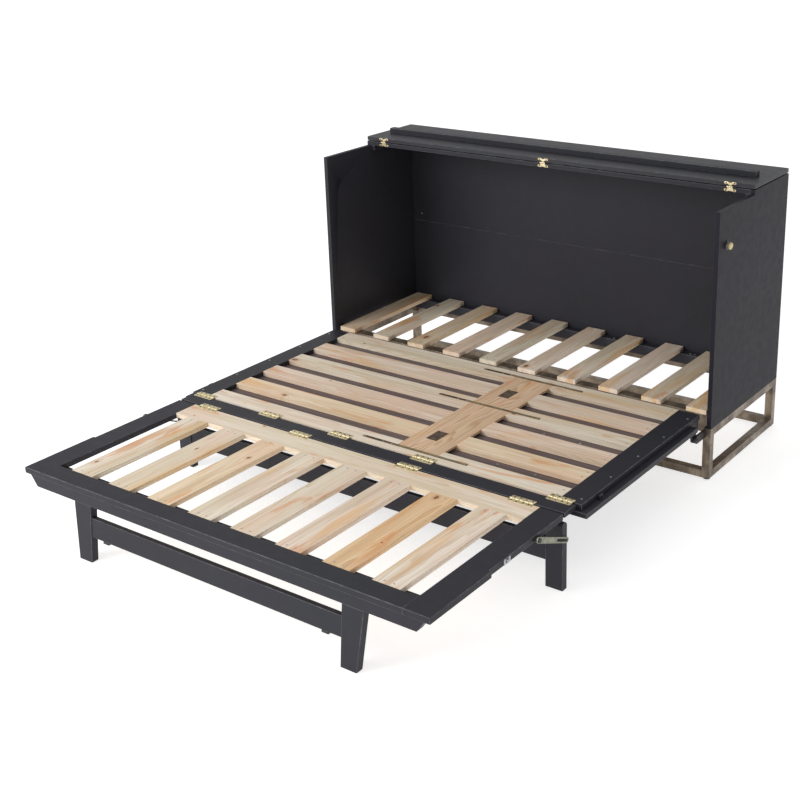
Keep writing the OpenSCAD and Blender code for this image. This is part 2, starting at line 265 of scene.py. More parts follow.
def pine():
    """Bare planed pine. Object X runs along the grain. The board attribute holds a seed, how
    far apart the rings are and how strong the figure is; hue is the board's own colour."""
    s = Shader("pine")
    place = s.place()
    board = s.split(s.add("Attribute", out=1, attribute_name="board"))
    seed, _, figure = board
    own = s.add("Attribute", out=0, attribute_name="hue")
    shift = s.add("CombineXYZ", {0: s.times(seed, 37.0), 1: s.times(seed, 11.0)})
    local = s.shifted(place, shift)
    ratio, has_knot = knots(s, local)
    swirl = s.times(s.math("EXPONENT", s.times(ratio, -0.42)), has_knot)
    late = late_wood(s, place, local, board, swirl)
    band = s.noise(s.scaled(local, (0.5, 9.0, 9.0)), 3.4, 4, 0.6)
    fibre = s.noise(s.scaled(local, (7.0, 420.0, 420.0)), 1.0, 3, 0.6)
    streak = s.noise(s.scaled(local, (2.2, 70.0, 70.0)), 1.0, 3, 0.65)

    # Cream sapwood to tan heartwood, with pink, honey and grey patches.
    colour = s.mix(s.span(band, 0.36, 0.66), tint(237, 229, 214), tint(222, 207, 184))
    colour = s.over(colour, figure, 0.5, tint(220, 186, 148))
    pink = s.noise(s.scaled(local, (2.4, 9.0, 9.0), (9, 4, 1)), 1.2, 2, 0.5)
    colour = s.over(colour, s.span(pink, 0.48, 0.64), 0.5, tint(234, 207, 188))
    honey = s.noise(s.scaled(local, (1.9, 12.0, 12.0), (2, 7, 5)), 1.0, 2, 0.5)
    colour = s.over(colour, s.span(honey, 0.56, 0.72), 0.6, tint(228, 184, 120))
    grey = s.noise(s.scaled(local, (1.3, 11.0, 11.0), (5, 1, 8)), 1.3, 3, 0.6)
    colour = s.over(colour, s.span(grey, 0.5, 0.7), 0.4, tint(206, 200, 172))

    # Ring bands, streaks, fibres and resin smears.
    colour = s.over(colour, late, s.plus(0.17, s.times(figure, 0.6)), tint(184, 142, 102))
    colour = s.mix(s.span(streak, 0.5, 0.78, 0.0, 0.32), colour, tint(158, 126, 96))
    colour = s.mix(s.span(fibre, 0.35, 0.75, 0.0, 0.2), colour, tint(152, 124, 96))
    smear = s.noise(s.scaled(local, (3.2, 16.0, 16.0), (1, 3, 2)), 1.0, 4, 0.6, 0.6)
    smear = s.times(s.span(smear, 0.57, 0.68), s.span(fibre, 0.3, 0.6, 0.5, 1.0))
    colour = s.over(colour, smear, 0.7, tint(210, 146, 88))
    colour = s.mix(1.0, colour, own, "MULTIPLY")

    # A knot has an orange halo, a brown heart and a darker bark ring.
    halo = s.times(s.span(ratio, 1.0, 3.4, 1.0, 0.0), has_knot)
    colour = s.over(colour, halo, 0.5, tint(186, 122, 74))
    heart = s.times(s.span(ratio, 0.86, 1.1, 1.0, 0.0), has_knot)
    knot = s.mix(s.noise(local, 260.0, 3), tint(112, 66, 36), tint(156, 98, 56))
    colour = s.over(colour, heart, 0.9, knot)
    rim = s.times(s.span(ratio, 0.7, 0.95), s.span(ratio, 1.0, 1.28, 1.0, 0.0))
    bark = s.times(rim, has_knot)
    colour = s.over(colour, bark, 0.75, tint(66, 40, 26))
    height = s.plus(s.times(fibre, 0.6), s.times(late, 0.35))
    height = s.math("SUBTRACT", height, s.times(bark, 0.6))
    return s.surface(
        Base_Color=colour,
        Roughness=s.span(fibre, 0.3, 0.7, 0.56, 0.7),
        Normal=s.bump(height, 0.28 * MM, 0.55),
    )


def bronze():
    """Antique bronze coating, brushed along and worn through in specks."""
    s = Shader("bronze_tube")
    place = s.place()
    cloud = s.noise(place, 13.0, 5, 0.65)
    colour = s.ramp(
        s.span(cloud, 0.3, 0.7), tint(84, 73, 62), tint(110, 97, 83), tint(146, 132, 114)
    )
    brush_z = s.noise(s.scaled(place, (300.0, 300.0, 14.0)), 1.0, 3, 0.6)
    brush_y = s.noise(s.scaled(place, (300.0, 12.0, 300.0)), 1.0, 3, 0.6)
    both = s.times(s.plus(brush_z, brush_y), 0.5)
    colour = s.mix(s.span(both, 0.5, 0.66, 0.0, 0.5), colour, tint(150, 134, 112))
    speck = s.span(s.noise(place, 330.0, 2, 0.7), 0.66, 0.76)
    colour = s.over(colour, speck, 0.5, tint(46, 36, 28))
    return s.surface(
        Base_Color=colour,
        Metallic=0.55,
        Roughness=s.span(cloud, 0.3, 0.7, 0.46, 0.32),
        Normal=s.bump(both, 0.14 * MM, 0.4),
    )


def metal(name, dark, light, rough, scale, specks, metallic=1.0):
    """Plated metal with handling marks and tarnish."""
    s = Shader(name)
    place = s.place()
    cloud = s.noise(place, scale, 4, 0.6)
    colour = s.ramp(s.span(cloud, 0.3, 0.7), dark, light)
    scratch = s.noise(s.scaled(place, (60.0, 900.0, 900.0)), 1.0, 2, 0.6)
    colour = s.mix(s.span(scratch, 0.6, 0.74, 0.0, 0.3), colour, light)
    spot = s.span(s.noise(place, 260.0, 3, 0.7), 0.62, 0.74)
    return s.surface(
        Base_Color=s.over(colour, spot, 0.5, specks),
        Metallic=metallic,
        Roughness=s.span(cloud, 0.3, 0.7, rough, rough + 0.16),
        Normal=s.bump(scratch, 0.06 * MM, 0.4),
    )


def plastic():
    """Grained black plastic."""
    s = Shader("black_plastic")
    place = s.place()
    cloud = s.noise(place, 60.0, 3)
    return s.surface(
        Base_Color=s.ramp(s.span(cloud, 0.3, 0.7), tint(24, 24, 25), tint(40, 40, 41)),
        Roughness=s.span(cloud, 0.3, 0.7, 0.5, 0.66),
        Normal=s.bump(s.noise(place, 1500.0, 2, 0.6), 0.08 * MM, 0.5),
    )


def cloth():
    """Dark brown webbing; the yarns are modelled, and this adds their twist."""
    s = Shader("webbing")
    place = s.place()
    cloud = s.noise(place, 70.0, 3)
    colour = s.ramp(s.span(cloud, 0.3, 0.7), tint(46, 30, 20), tint(104, 78, 52))
    twist = s.add(
        "TexWave",
        {"Vector": place, "Scale": 240.0, "Distortion": 2.0, "Detail": 2.0},
        out=1,
        bands_direction="DIAGONAL",
    )
    return s.surface(
        Base_Color=s.over(colour, twist, 0.35, tint(48, 38, 30)),
        Roughness=0.86,
        Normal=s.bump(twist, 0.2 * MM, 0.6),
        Sheen_Weight=0.2,
    )


DARK, LESS_DARK = tint(46, 45, 51), tint(50, 49, 56)
look = {
    "charcoal_paint": paint("charcoal_paint", DARK, LESS_DARK),
    # Lighter paint for the rounded edges of painted boards: painted highlight where the edges catch
    # the light, brighter in patches.
    "charcoal_lit_edge": paint(
        "charcoal_lit_edge", tint(66, 65, 70), tint(80, 79, 84), tint(122, 121, 124)
    ),
    "lid_paint": paint("lid_paint", DARK, LESS_DARK, gloss=0.3),
    # Painted shade: darker, less glossy paint for the right side panel, which faces away from the
    # key light.
    "shaded_side_paint": paint("shaded_side_paint", tint(37, 35, 43), tint(40, 38, 46), gloss=0.1),
    "face_board": paint(
        "face_board", DARK, LESS_DARK, bare=(tint(88, 76, 76), tint(110, 96, 94))
    ),
    "pine": pine(),
    "bronze_tube": bronze(),
    "brass": metal(
        "brass", tint(196, 180, 136), tint(234, 222, 184), 0.3, 90.0, tint(96, 74, 40), 0.6
    ),
    "hinge_screw": metal(
        "hinge_screw", tint(62, 46, 30), tint(104, 82, 56), 0.4, 90.0, tint(50, 38, 26), 0.6
    ),
    "dark_steel": metal(
        "dark_steel", tint(38, 36, 38), tint(66, 64, 66), 0.42, 60.0, tint(96, 90, 84), 0.4
    ),
    "strap_steel": metal(
        "strap_steel", tint(120, 104, 78), tint(160, 144, 114), 0.42, 40.0, tint(70, 54, 38), 0.35
    ),
    # Painted shade: dark metal for the strip under the strap bar, standing in for the shade of its
    # recess.
    "strap_base": metal(
        "strap_base", tint(70, 52, 36), tint(112, 90, 64), 0.46, 60.0, tint(44, 32, 24), 0.3
    ),
    "steel": metal("steel", tint(146, 146, 148), tint(200, 200, 200), 0.28, 70.0, tint(92, 88, 82)),
    "brace_steel": metal(
        "brace_steel", tint(118, 120, 104), tint(160, 160, 142), 0.4, 70.0, tint(70, 66, 58), 0.6
    ),
    "black_plastic": plastic(),
    "webbing": cloth(),
}


# ---------------------------------------------------------------- CAD nodes that stay

# How far the edges of a node are rounded, mm.
EDGED = {
    "left_side_panel": 1.4, "right_side_panel": 1.4, "fixed_top": 1.4, "lid_panel": 1.4,
    "lid_strip": 1.6, "lower_back_board": 1.0, "upper_back_board": 1.0, "face_panel": 1.4,
    "left_middle_rail": 1.6, "right_middle_rail": 1.6, "spine_strip": 1.4,
    "left_foot_rail": 1.8, "right_foot_rail": 1.8, "foot_end_rail": 1.8, "foot_apron": 1.8,
    "front_stretcher": 1.8, "left_front_leg": 1.8, "right_front_leg": 1.8,
    "rear_stretcher": 1.6, "left_rear_leg": 1.4, "right_rear_leg": 1.4,
    "top_cleats": 1.2, "slat_ledgers": 1.2,
    "front_slat_rail": 0.8, "rear_slat_rail": 1.6,
    "left_base_frame": 1.6, "right_base_frame": 1.6, "base_cross_tubes": 1.6,
}
OWN_LOOK = {
    # The right side panel takes the darker paint of painted shade.
    "face_panel": "face_board", "lid_panel": "lid_paint", "right_side_panel": "shaded_side_paint",
    "left_brace": "brace_steel", "right_brace": "brace_steel",
    "pivot_arms": "dark_steel", "pivot_brackets": "dark_steel", "latch_plates": "dark_steel",
    "middle_catches": "dark_steel", "rear_leg_hardware": "dark_steel",
}


def round_edges(node, width, paint_lit_edges):
    """Rounds a node's sharp edges; if asked, paints the rounded faces lighter, a painted highlight
    where the edges catch the light.
    """
    weld = node.modifiers.new("weld", "WELD")
    weld.merge_threshold = WELD
    flat = node.modifiers.new("flat", "DECIMATE")
    flat.decimate_type, flat.angle_limit = "DISSOLVE", FLAT
    round_over = node.modifiers.new("round_over", "BEVEL")
    round_over.width, round_over.segments = width, 2
    round_over.limit_method, round_over.angle_limit = "ANGLE", SHARP
    round_over.harden_normals = True
    if paint_lit_edges:
        # Painted highlight: the rounded faces take the lighter edge paint.
        node.data.materials.append(look["charcoal_lit_edge"])
        round_over.material = 1


for name, node in nodes.items():
    node.data.materials[0] = look[OWN_LOOK.get(name, cad_slot[name])]
    if name in EDGED:
        round_edges(node, EDGED[name] * MM, cad_slot[name] == "charcoal_paint")


# ---------------------------------------------------------------- meshes in common


def extent(bm):
    """The lowest and the highest corner of a bmesh's box."""
    low = Vector([min(v.co[i] for v in bm.verts) for i in range(3)])
    high = Vector([max(v.co[i] for v in bm.verts) for i in range(3)])
    return low, high


def connected(bm):
    """The vertices of each separate solid."""
    seen, groups = set(), []
    for start in bm.verts:
        if start in seen:
            continue
        seen.add(start)
        group, queue = [start], [start]
        while queue:
            for edge in queue.pop().link_edges:
                fresh = [v for v in edge.verts if v not in seen]
                seen.update(fresh)
                group += fresh
                queue += fresh
        groups.append(group)
    return groups


def solids(node):
    """Each separate solid of a CAD node as its own welded bmesh, in a fixed order."""
    whole = bmesh.new()
    whole.from_mesh(nodes[node].data)
    bmesh.ops.remove_doubles(whole, verts=whole.verts, dist=WELD)
    bmesh.ops.dissolve_limit(whole, angle_limit=FLAT, verts=whole.verts, edges=whole.edges)
    whole.verts.ensure_lookup_table()
    made = []
    for group in connected(whole):
        piece = bmesh.new()
        copies = {v: piece.verts.new(v.co) for v in group}
        for face in {f for v in group for f in v.link_faces}:
            piece.faces.new([copies[v] for v in face.verts])
        piece.faces.ensure_lookup_table()
        middle = sum((v.co for v in piece.verts), Vector()) / len(piece.verts)
        made.append((round(middle.y, 4), round(middle.x, 4), piece))
    whole.free()
    made.sort(key=lambda item: (item[0], item[1]))
    return [piece for _, _, piece in made]


def islands(node):
    """(low, high) of each separate solid of a CAD node."""
    made = []
    for bm in solids(node):
        made.append(extent(bm))
        bm.free()
    return made


def join_rings(bm, rings):
    """A skin of quads from each ring of vertices to the next."""
    for a, b in zip(rings, rings[1:]):
        for i in range(len(a)):
            j = (i + 1) % len(a)
            bm.faces.new((a[i], a[j], b[j], b[i]))


def close_ends(bm, rings):
    bm.faces.new(rings[0])
    bm.faces.new(rings[-1])


def turned(bm, profile, place=UNTURNED, steps=24, shrink=None):
    """Rings of (radius, height) points about the Z axis of place, joined to a skin.

    shrink takes a radius and an angle and gives the radius there."""
    rings = []
    for radius, height in profile:
        ring = []
        for i in range(steps):
            a = 2 * math.pi * i / steps
            r = shrink(radius, a) if shrink else radius
            ring.append(bm.verts.new(place @ Vector((r * math.cos(a), r * math.sin(a), height))))
        rings.append(ring)
    join_rings(bm, rings)
    return rings


def arc(centre, radius, start, sweep, steps):
    """Points of an arc in the plane, angles in degrees."""
    made = []
    for k in range(steps + 1):
        a = math.radians(start + sweep * k / steps)
        made.append((centre[0] + radius * math.cos(a), centre[1] + radius * math.sin(a)))
    return made


def ease_edges(bm, edges, width):
    bmesh.ops.bevel(bm, geom=edges, offset=width, segments=2, profile=0.5, affect="EDGES")


def finish_mesh(bm, name, body, kind, smooth=30, place=UNTURNED):
    """Turns a bmesh in the row frame into an object, with its own origin at place."""
    bmesh.ops.transform(bm, matrix=place.inverted(), verts=bm.verts)
    bmesh.ops.recalc_face_normals(bm, faces=bm.faces)
    mesh = bpy.data.meshes.new(name)
    bm.to_mesh(mesh)
    bm.free()
    mesh.materials.append(look[kind])
    mesh.polygons.foreach_set("use_smooth", [True] * len(mesh.polygons))
    mesh.set_sharp_from_angle(angle=math.radians(smooth))
    piece = bpy.data.objects.new(name, mesh)
    piece.matrix_world = place
    bpy.context.scene.collection.objects.link(piece)
    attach(piece, body)
    return piece


def stand_in(bm, name, node, kind, smooth=30, place=UNTURNED):
    """Turns a bmesh into an object that replaces a CAD node and rides on its body."""
    piece = finish_mesh(bm, name, body_of_node[node], kind, smooth, place)
    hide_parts(node)
    return piece


# ---------------------------------------------------------------- wooden boards

BOW = 0.35 * MM
CUT_EVERY = 0.06


def bend(bm, run):
    """Cuts a board across its run, 0 for X or 1 for Y, and bows it a little."""
    low, high = extent(bm)
    length = high[run] - low[run]
    cuts = max(4, int(length / CUT_EVERY))
    for i in range(1, cuts):
        point = low.copy()
        point[run] = low[run] + length * i / cuts
        everything = bm.verts[:] + bm.edges[:] + bm.faces[:]
        bmesh.ops.bisect_plane(bm, geom=everything, plane_co=point, plane_no=(X, Y)[run])
    phase = dice.uniform(0, 50)
    for vert in bm.verts:
        t = (vert.co[run] - low[run]) / length
        sag = noise.noise(Vector((phase, t * 3.0, 0.0)))
        side = noise.noise(Vector((phase + 9, t * 2.5, vert.co[1 - run] * 4)))
        amount = BOW * math.sin(math.pi * t)
        vert.co.z -= abs(sag) * amount
        vert.co[1 - run] += side * amount


def wood_piece(bm, name, node, along_y, hue, figure, rounding):
    """One board: rounded edges, a little bow and twist, and its own grain numbers."""
    low, high = extent(bm)
    place = Matrix.Translation((low + high) / 2)
    if along_y:
        place = place @ Matrix.Rotation(math.pi / 2, 4, "Z")
    sharp = [e for e in bm.edges if len(e.link_faces) == 2 and e.calc_face_angle(0) > SHARP]
    bmesh.ops.bevel(
        bm, geom=sharp, offset=rounding, segments=3, profile=0.6, affect="EDGES",
        clamp_overlap=True,
    )
    bend(bm, 1 if along_y else 0)
    board = (dice.random(), dice.random(), figure)
    piece = stand_in(bm, name, node, "pine", 35, place)
    count = len(piece.data.vertices)
    data = piece.data.attributes.new("board", "FLOAT_VECTOR", "POINT")
    data.data.foreach_set("vector", list(board) * count)
    data = piece.data.attributes.new("hue", "FLOAT_COLOR", "POINT")
    data.data.foreach_set("color", [*hue, 1.0] * count)


PALE, CREAM, PINK = (1.12, 1.12, 1.14), (1.04, 1.03, 1.0), (1.06, 0.99, 0.97)
GOLD, HONEY = (1.08, 0.92, 0.7), (1.08, 0.98, 0.84)
GREY, DULL = (0.94, 0.95, 0.92), (0.94, 0.86, 0.76)
WHITISH, TAN = (1.1, 1.08, 1.05), (1.02, 0.9, 0.8)
# For each node: whether its boards run along Y, and the hue of each board.
BOARDS = {
    "head_slats": (True, [DULL, GREY, DULL, PINK, GREY, PINK, CREAM, PINK, CREAM, HONEY]),
    "foot_slats": (True, [CREAM, CREAM, HONEY, CREAM, CREAM, PINK, GOLD, PALE]),
    "header_board": (False, [WHITISH]),
    "centre_board": (True, [TAN]),
    "middle_slat_1": (False, [CREAM]),
    "middle_slat_2": (False, [PINK]),
    "middle_slat_3": (False, [CREAM]),
    "middle_slat_4": (False, [PINK]),
    "middle_slat_5": (False, [HONEY]),
    "middle_slat_6": (False, [PALE]),
}
FIGURE = {TAN: 0.7, GOLD: 0.45}
MOST_FIGURE = 0.25
FLUSH = ("foot_slats", "header_board")
ROUNDING, FLUSH_ROUNDING = 1.6 * MM, 0.8 * MM

for node, (along_y, hues) in BOARDS.items():
    boards = solids(node)
    for i, (bm, hue) in enumerate(zip(boards, hues), 1):
        name = f"{node}_board" if len(boards) == 1 else f"{node}_board_{i}"
        figure = FIGURE[hue] if hue in FIGURE else dice.uniform(0, MOST_FIGURE)
        rounding = FLUSH_ROUNDING if node in FLUSH else ROUNDING
        wood_piece(bm, name, node, along_y, hue, figure, rounding)


# ---------------------------------------------------------------- screws


def screw_template(radius, height):
    """A pan head with a cross recess, standing on Z = 0."""
    bm = bmesh.new()
    sunk = -0.4 * MM
    head = [
        (radius, sunk),
        (radius, height * 0.35),
        (radius * 0.93, height * 0.75),
        (radius * 0.78, height),
    ]
    rings = turned(bm, head)
    bm.faces.new(reversed(rings[0]))
    arm, half = radius * 0.52, radius * 0.15
    outline = []
    for quarter in range(4):
        turn = Matrix.Rotation(quarter * math.pi / 2, 3, "Z")
        for corner in ((arm, -half), (arm, half), (half, half)):
            outline.append(turn @ Vector((*corner, height)))
    top = [bm.verts.new(p) for p in outline]
    floor = [bm.verts.new(p - Z * height * 0.7) for p in outline]
    join_rings(bm, [top, floor])
    bm.faces.new(floor)
    loops = []
    for ring in (top, rings[-1]):
        loops += [bm.edges.get((a, b)) for a, b in zip(ring, ring[1:] + ring[:1])]
    bmesh.ops.bridge_loops(bm, edges=loops)
    bmesh.ops.triangulate(bm, faces=[f for f in bm.faces if len(f.verts) > 4])
    mesh = bpy.data.meshes.new("screw")
    bm.to_mesh(mesh)
    bm.free()
    return mesh


def screws(name, body, points, up, radius=3.6, height=1.6, slot="steel", kind="steel"):
    """One piece of several screw heads, each turned its own way; up is the outward axis."""
    template = screw_template(radius * MM, height * MM)
    turn = up.to_track_quat("Z", "Y").to_matrix().to_4x4()
    bm = bmesh.new()
    for point in points:
        first = len(bm.verts)
        bm.from_mesh(template)
        bm.verts.ensure_lookup_table()
        spin = Matrix.Rotation(dice.uniform(0, math.pi), 4, "Z")
        bmesh.ops.transform(
            bm, matrix=Matrix.Translation(point) @ turn @ spin, verts=bm.verts[first:]
        )
    finish_mesh(bm, name, body, kind)


# Screws along the middle rails, into the boards below.
RAIL_INSET, RAIL_FIRST, RAIL_PITCH = 19 * MM, 53 * MM, 174 * MM
for side in ("left", "right"):
    low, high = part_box(f"{side}_middle_rail")
    x = high.x - RAIL_INSET if side == "right" else low.x + RAIL_INSET
    points = [Vector((x, high.y - RAIL_FIRST - RAIL_PITCH * i, high.z)) for i in range(5)]
    screws(f"{side}_rail_screws", "middle_section", points, Z, 3.8, 1.4)

# Two small screws in each end of a slat: how far from its end and from its middle line.
SMALL = (2.6, 0.5)
MIDDLE_INSET, MIDDLE_ASIDE, SLAT_ASIDE = 16 * MM, 18 * MM, 16 * MM
for i in range(1, 7):
    low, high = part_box(f"middle_slat_{i}")
    points = [
        Vector((x, (low.y + high.y) / 2 + aside, high.z))
        for x in (low.x + MIDDLE_INSET, high.x - MIDDLE_INSET)
        for aside in (-MIDDLE_ASIDE, MIDDLE_ASIDE)
    ]
    screws(f"middle_slat_{i}_screws", "middle_section", points, Z, *SMALL)
for node, inset in (("head_slats", 20 * MM), ("foot_slats", 14 * MM)):
    points = [
        Vector(((low.x + high.x) / 2 + aside, y, high.z))
        for low, high in islands(node)
        for y in (low.y + inset, high.y - inset)
        for aside in (-SLAT_ASIDE, SLAT_ASIDE)
    ]
    screws(f"{node}_screws", body_of_node[node], points, Z, *SMALL)


def at(x, y, z):
    """A point given in mm from the front face of the side panels, in the row frame."""
    return Vector((x * MM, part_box("right_side_panel")[0].y + y * MM, z * MM))


# Single screws in the rear slat rail, a back board and the face panel.
screws("ledge_screws", "cabinet", [at(x, 520, 228) for x in (175, 247, 503, 520)], Z, 4.2, 1.8)
screws("back_board_screw", "cabinet", [at(-772, 544, 601)], -Y, 4.2, 1.8)
screws(
    "face_panel_screws", "middle_section",
    [at(x, y, 226) for y in (-407, -682) for x in (424, 562)], Z, 5.0, 2.0,
)


# ---------------------------------------------------------------- hinges

LEAF_THICK, TAB_THICK = 1.5 * MM, 1.4 * MM
HINGE_SCREW = ("brass", "hinge_screw")  # slot and look


def slab(bm, outline, origin, across, outward, thick):
    """A plate: the outline lies in the X and across directions, its back at origin."""
    back = [bm.verts.new(origin + X * a + across * b) for a, b in outline]
    front = [bm.verts.new(v.co + outward * thick) for v in back]
    join_rings(bm, [back, front])
    close_ends(bm, [back, front])
    rim = [bm.edges.get((a, b)) for a, b in zip(front, front[1:] + front[:1])]
    ease_edges(bm, rim, 0.3 * MM)


def tab(bm, start, stop, reach, origin, across, outward):
    """The strip of a leaf that runs to a knuckle."""
    outline = [(start, 0), (stop, 0), (stop, reach), (start, reach)]
    slab(bm, outline, origin, across, outward, TAB_THICK)


def knuckle(bm, start, stop, y, z, radius):
    """One knuckle of a hinge: a short roll along X with chamfered ends."""
    ease = 0.5 * MM
    profile = (
        (radius - ease, start),
        (radius, start + ease),
        (radius, stop - ease),
        (radius - ease, stop),
    )
    along_x = Matrix(((0, 0, 1, 0), (1, 0, 0, y), (0, 1, 0, z), (0, 0, 0, 1)))
    close_ends(bm, turned(bm, profile, along_x, 18))


def leaf_outline(half, near, far, corner):
    """A plate outline whose two far corners are rounded."""
    right = [(half, near)] + arc((half - corner, far - corner), corner, 0, 90, 4)
    return right + [(-a, b) for a, b in reversed(right)]


# Butt hinges, mm, drawn a little shorter and narrower than the CAD leaves. Distances from the
# pin of a leaf's edges, its tabs and its back, and of the CAD leaf's far edge.
LEAF_NEAR, LEAF_FAR, TAB_FAR, LEAF_BACK, CAD_FAR = 3.9, 18.5, 4.2, 1.0, 22
LEAF_SHORTER, LEAF_CORNER = 6, 3
PIN_RADIUS, PIN_CORE, KNUCKLE_GAP, KNUCKLES = 3, 1.5, 0.7, 5
# Its screws: share of the leaf's half length, distance from the pin.
LEAF_SCREWS = ((-0.74, 10.5), (-0.26, 12.5), (0.26, 10.5), (0.74, 12.5))


def row_leaf(node, way, odd):
    """Leaves of a row of butt hinges; way is +1 or -1 along Y, odd takes knuckles 1, 3 and 5."""
    heads = []
    for i, (low, high) in enumerate(islands(node), 1):
        middle, half = (low.x + high.x) / 2, (high.x - low.x) / 2 - LEAF_SHORTER * MM
        y = high.y - CAD_FAR * MM if way > 0 else low.y + CAD_FAR * MM
        z = high.z - PIN_RADIUS * MM
        origin = Vector((middle, y, z - LEAF_BACK * MM))
        bm = bmesh.new()
        outline = leaf_outline(half, LEAF_NEAR * MM, LEAF_FAR * MM, LEAF_CORNER * MM)
        slab(bm, outline, origin, Y * way, Z, LEAF_THICK)
        part = 2 * half / KNUCKLES
        for k in range(0 if odd else 1, KNUCKLES, 2):
            start = part * k - half + KNUCKLE_GAP * MM
            stop = part * (k + 1) - half - KNUCKLE_GAP * MM
            knuckle(bm, middle + start, middle + stop, y, z, PIN_RADIUS * MM)
            tab(bm, start, stop, TAB_FAR * MM, origin, Y * way, Z)
        if odd:
            knuckle(bm, middle - half + MM, middle + half - MM, y, z, PIN_CORE * MM)
        stand_in(bm, f"{node}_{i}", node, "brass")
        for share, out in LEAF_SCREWS:
            x, y_head = middle + share * half, y + way * out * MM
            heads.append(Vector((x, y_head, origin.z + LEAF_THICK)))
    screws(f"{node}_screws", body_of_node[node], heads, Z, 3.0, 0.5, *HINGE_SCREW)


row_leaf("row_one_middle_leaves", 1, True)
row_leaf("row_one_spine_leaves", -1, False)
row_leaf("row_two_spine_leaves", 1, True)
row_leaf("row_two_foot_leaves", -1, False)

# Butterfly leaf of a lid hinge: the right half of its outline as (X, distance from the pin), mm.
WING = (
    (4.5, 3.4), (5.2, 7.0), (9.0, 9.4), (18.5, 8.2), (22.0, 10.0),
    (22.0, 14.6), (18.5, 16.5), (8.0, 16.5), (4.0, 13.6),
)
LID_PIN_RADIUS, LID_PIN_OUT, LID_TAB_FAR = 3.2, 3.6, 9.6
OUTER_KNUCKLES, INNER_KNUCKLE = ((-11, -4.2), (4.2, 11)), ((-3.8, 3.8),)
WING_SCREW_X, WING_SCREW_OUT = 15, 12.4


def wing_leaf(node, way, knuckles):
    """Leaves of the lid hinges; way is +1 or -1 along Z."""
    heads = []
    outline = [(a * MM, b * MM) for a, b in WING]
    outline += [(-a, b) for a, b in reversed(outline)]
    for i, (low, high) in enumerate(islands(node), 1):
        middle = (low.x + high.x) / 2
        y = high.y - LID_PIN_OUT * MM
        z = high.z - LID_PIN_RADIUS * MM if way < 0 else low.z + LID_PIN_RADIUS * MM
        origin = Vector((middle, high.y, z))
        bm = bmesh.new()
        slab(bm, outline, origin, Z * way, -Y, LEAF_THICK)
        for start, stop in knuckles:
            knuckle(bm, middle + start * MM, middle + stop * MM, y, z, LID_PIN_RADIUS * MM)
            narrow = (start + 0.4) * MM, (stop - 0.4) * MM
            tab(bm, *narrow, LID_TAB_FAR * MM, origin, Z * way, -Y)
        stand_in(bm, f"{node}_{i}", node, "brass")
        for x in (-WING_SCREW_X, WING_SCREW_X):
            out = way * WING_SCREW_OUT * MM
            heads.append(Vector((middle + x * MM, high.y - LEAF_THICK, z + out)))
    screws(f"{node}_screws", body_of_node[node], heads, -Y, 2.6, 0.9, *HINGE_SCREW)


wing_leaf("lid_hinge_lower", -1, OUTER_KNUCKLES)
wing_leaf("lid_hinge_upper", 1, INNER_KNUCKLE)


# ---------------------------------------------------------------- latches

# Knob: (radius, height above the panel), mm; the wide part is fluted.
KNOB = (
    (8.0, 2.2), (8.0, 5.0), (11.6, 6.2), (12.6, 7.4), (12.6, 14.6), (11.6, 16.6),
    (9.8, 17.6), (9.0, 16.0), (6.0, 15.6), (5.2, 17.2), (1.6, 17.6),
)
FLUTES, FLUTE_DEPTH, FLUTED_FROM = 12, 0.09, 11.5
# Spindle and its collar: radius, innermost and outermost height, mm.
SPINDLE, COLLAR = (4.0, -22.0, 2.6), (7.0, -21.0, -17.4)
CAM_REACH, CAM_DEPTH, CAM_THICK = 22.0, 17.2, 4.4


def fluted(radius, angle):
    """The knob's radius at an angle, mm in and metres out."""
    depth = FLUTE_DEPTH if radius > FLUTED_FROM else 0.0
    return radius * (1 - depth * (0.5 + 0.5 * math.cos(FLUTES * angle))) * MM


def knob(side, place):
    """A round fluted knob outside the panel."""
    bm = bmesh.new()
    profile = [(radius, height * MM) for radius, height in KNOB]
    close_ends(bm, turned(bm, profile, place, 72, fluted))
    stand_in(bm, f"{side}_latch_knob", f"{side}_latch", "brass", 40)


def cam(side, way, place):
    """A spindle through the panel, with a collar and a cam inside that points up."""
    bm = bmesh.new()
    for radius, start, stop in (SPINDLE, COLLAR):
        profile = [(radius * MM, start * MM), (radius * MM, stop * MM)]
        close_ends(bm, turned(bm, profile, place))
    outline = arc((0, 0), 5, 180, 180, 8)
    outline += [(4.2, 19.0), (2.4, CAM_REACH), (-2.4, CAM_REACH), (-4.2, 19.0)]
    inner = place.translation - X * way * CAM_DEPTH * MM
    near = [bm.verts.new(inner + Y * a * MM + Z * b * MM) for a, b in outline]
    far = [bm.verts.new(v.co - X * way * CAM_THICK * MM) for v in near]
    join_rings(bm, [near, far])
    close_ends(bm, [near, far])
    stand_in(bm, f"{side}_latch_cam", f"{side}_latch", "dark_steel")


for side, way in (("left", -1), ("right", 1)):
    low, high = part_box(f"{side}_latch")
    panel_low, panel_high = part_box(f"{side}_side_panel")
    face = panel_high.x if way > 0 else panel_low.x
    axis = Vector((face, (low.y + high.y) / 2, high.z - CAM_REACH * MM))
    turn = (X * way).to_track_quat("Z", "Y").to_matrix().to_4x4()
    place = Matrix.Translation(axis) @ turn
    knob(side, place)
    cam(side, way, place)


# ---------------------------------------------------------------- flat straps and pads

# The bar's half width, where along the dark strip of painted groove shade it starts, how far it
# stands up, and thicknesses.
BAR_HALF, BAR_START, BAR_UP, BAR_DEEP, GROOVE_SHADE_DEEP = 4.6 * MM, 0.27, 1.3 * MM, 1.5 * MM, 1.8 * MM


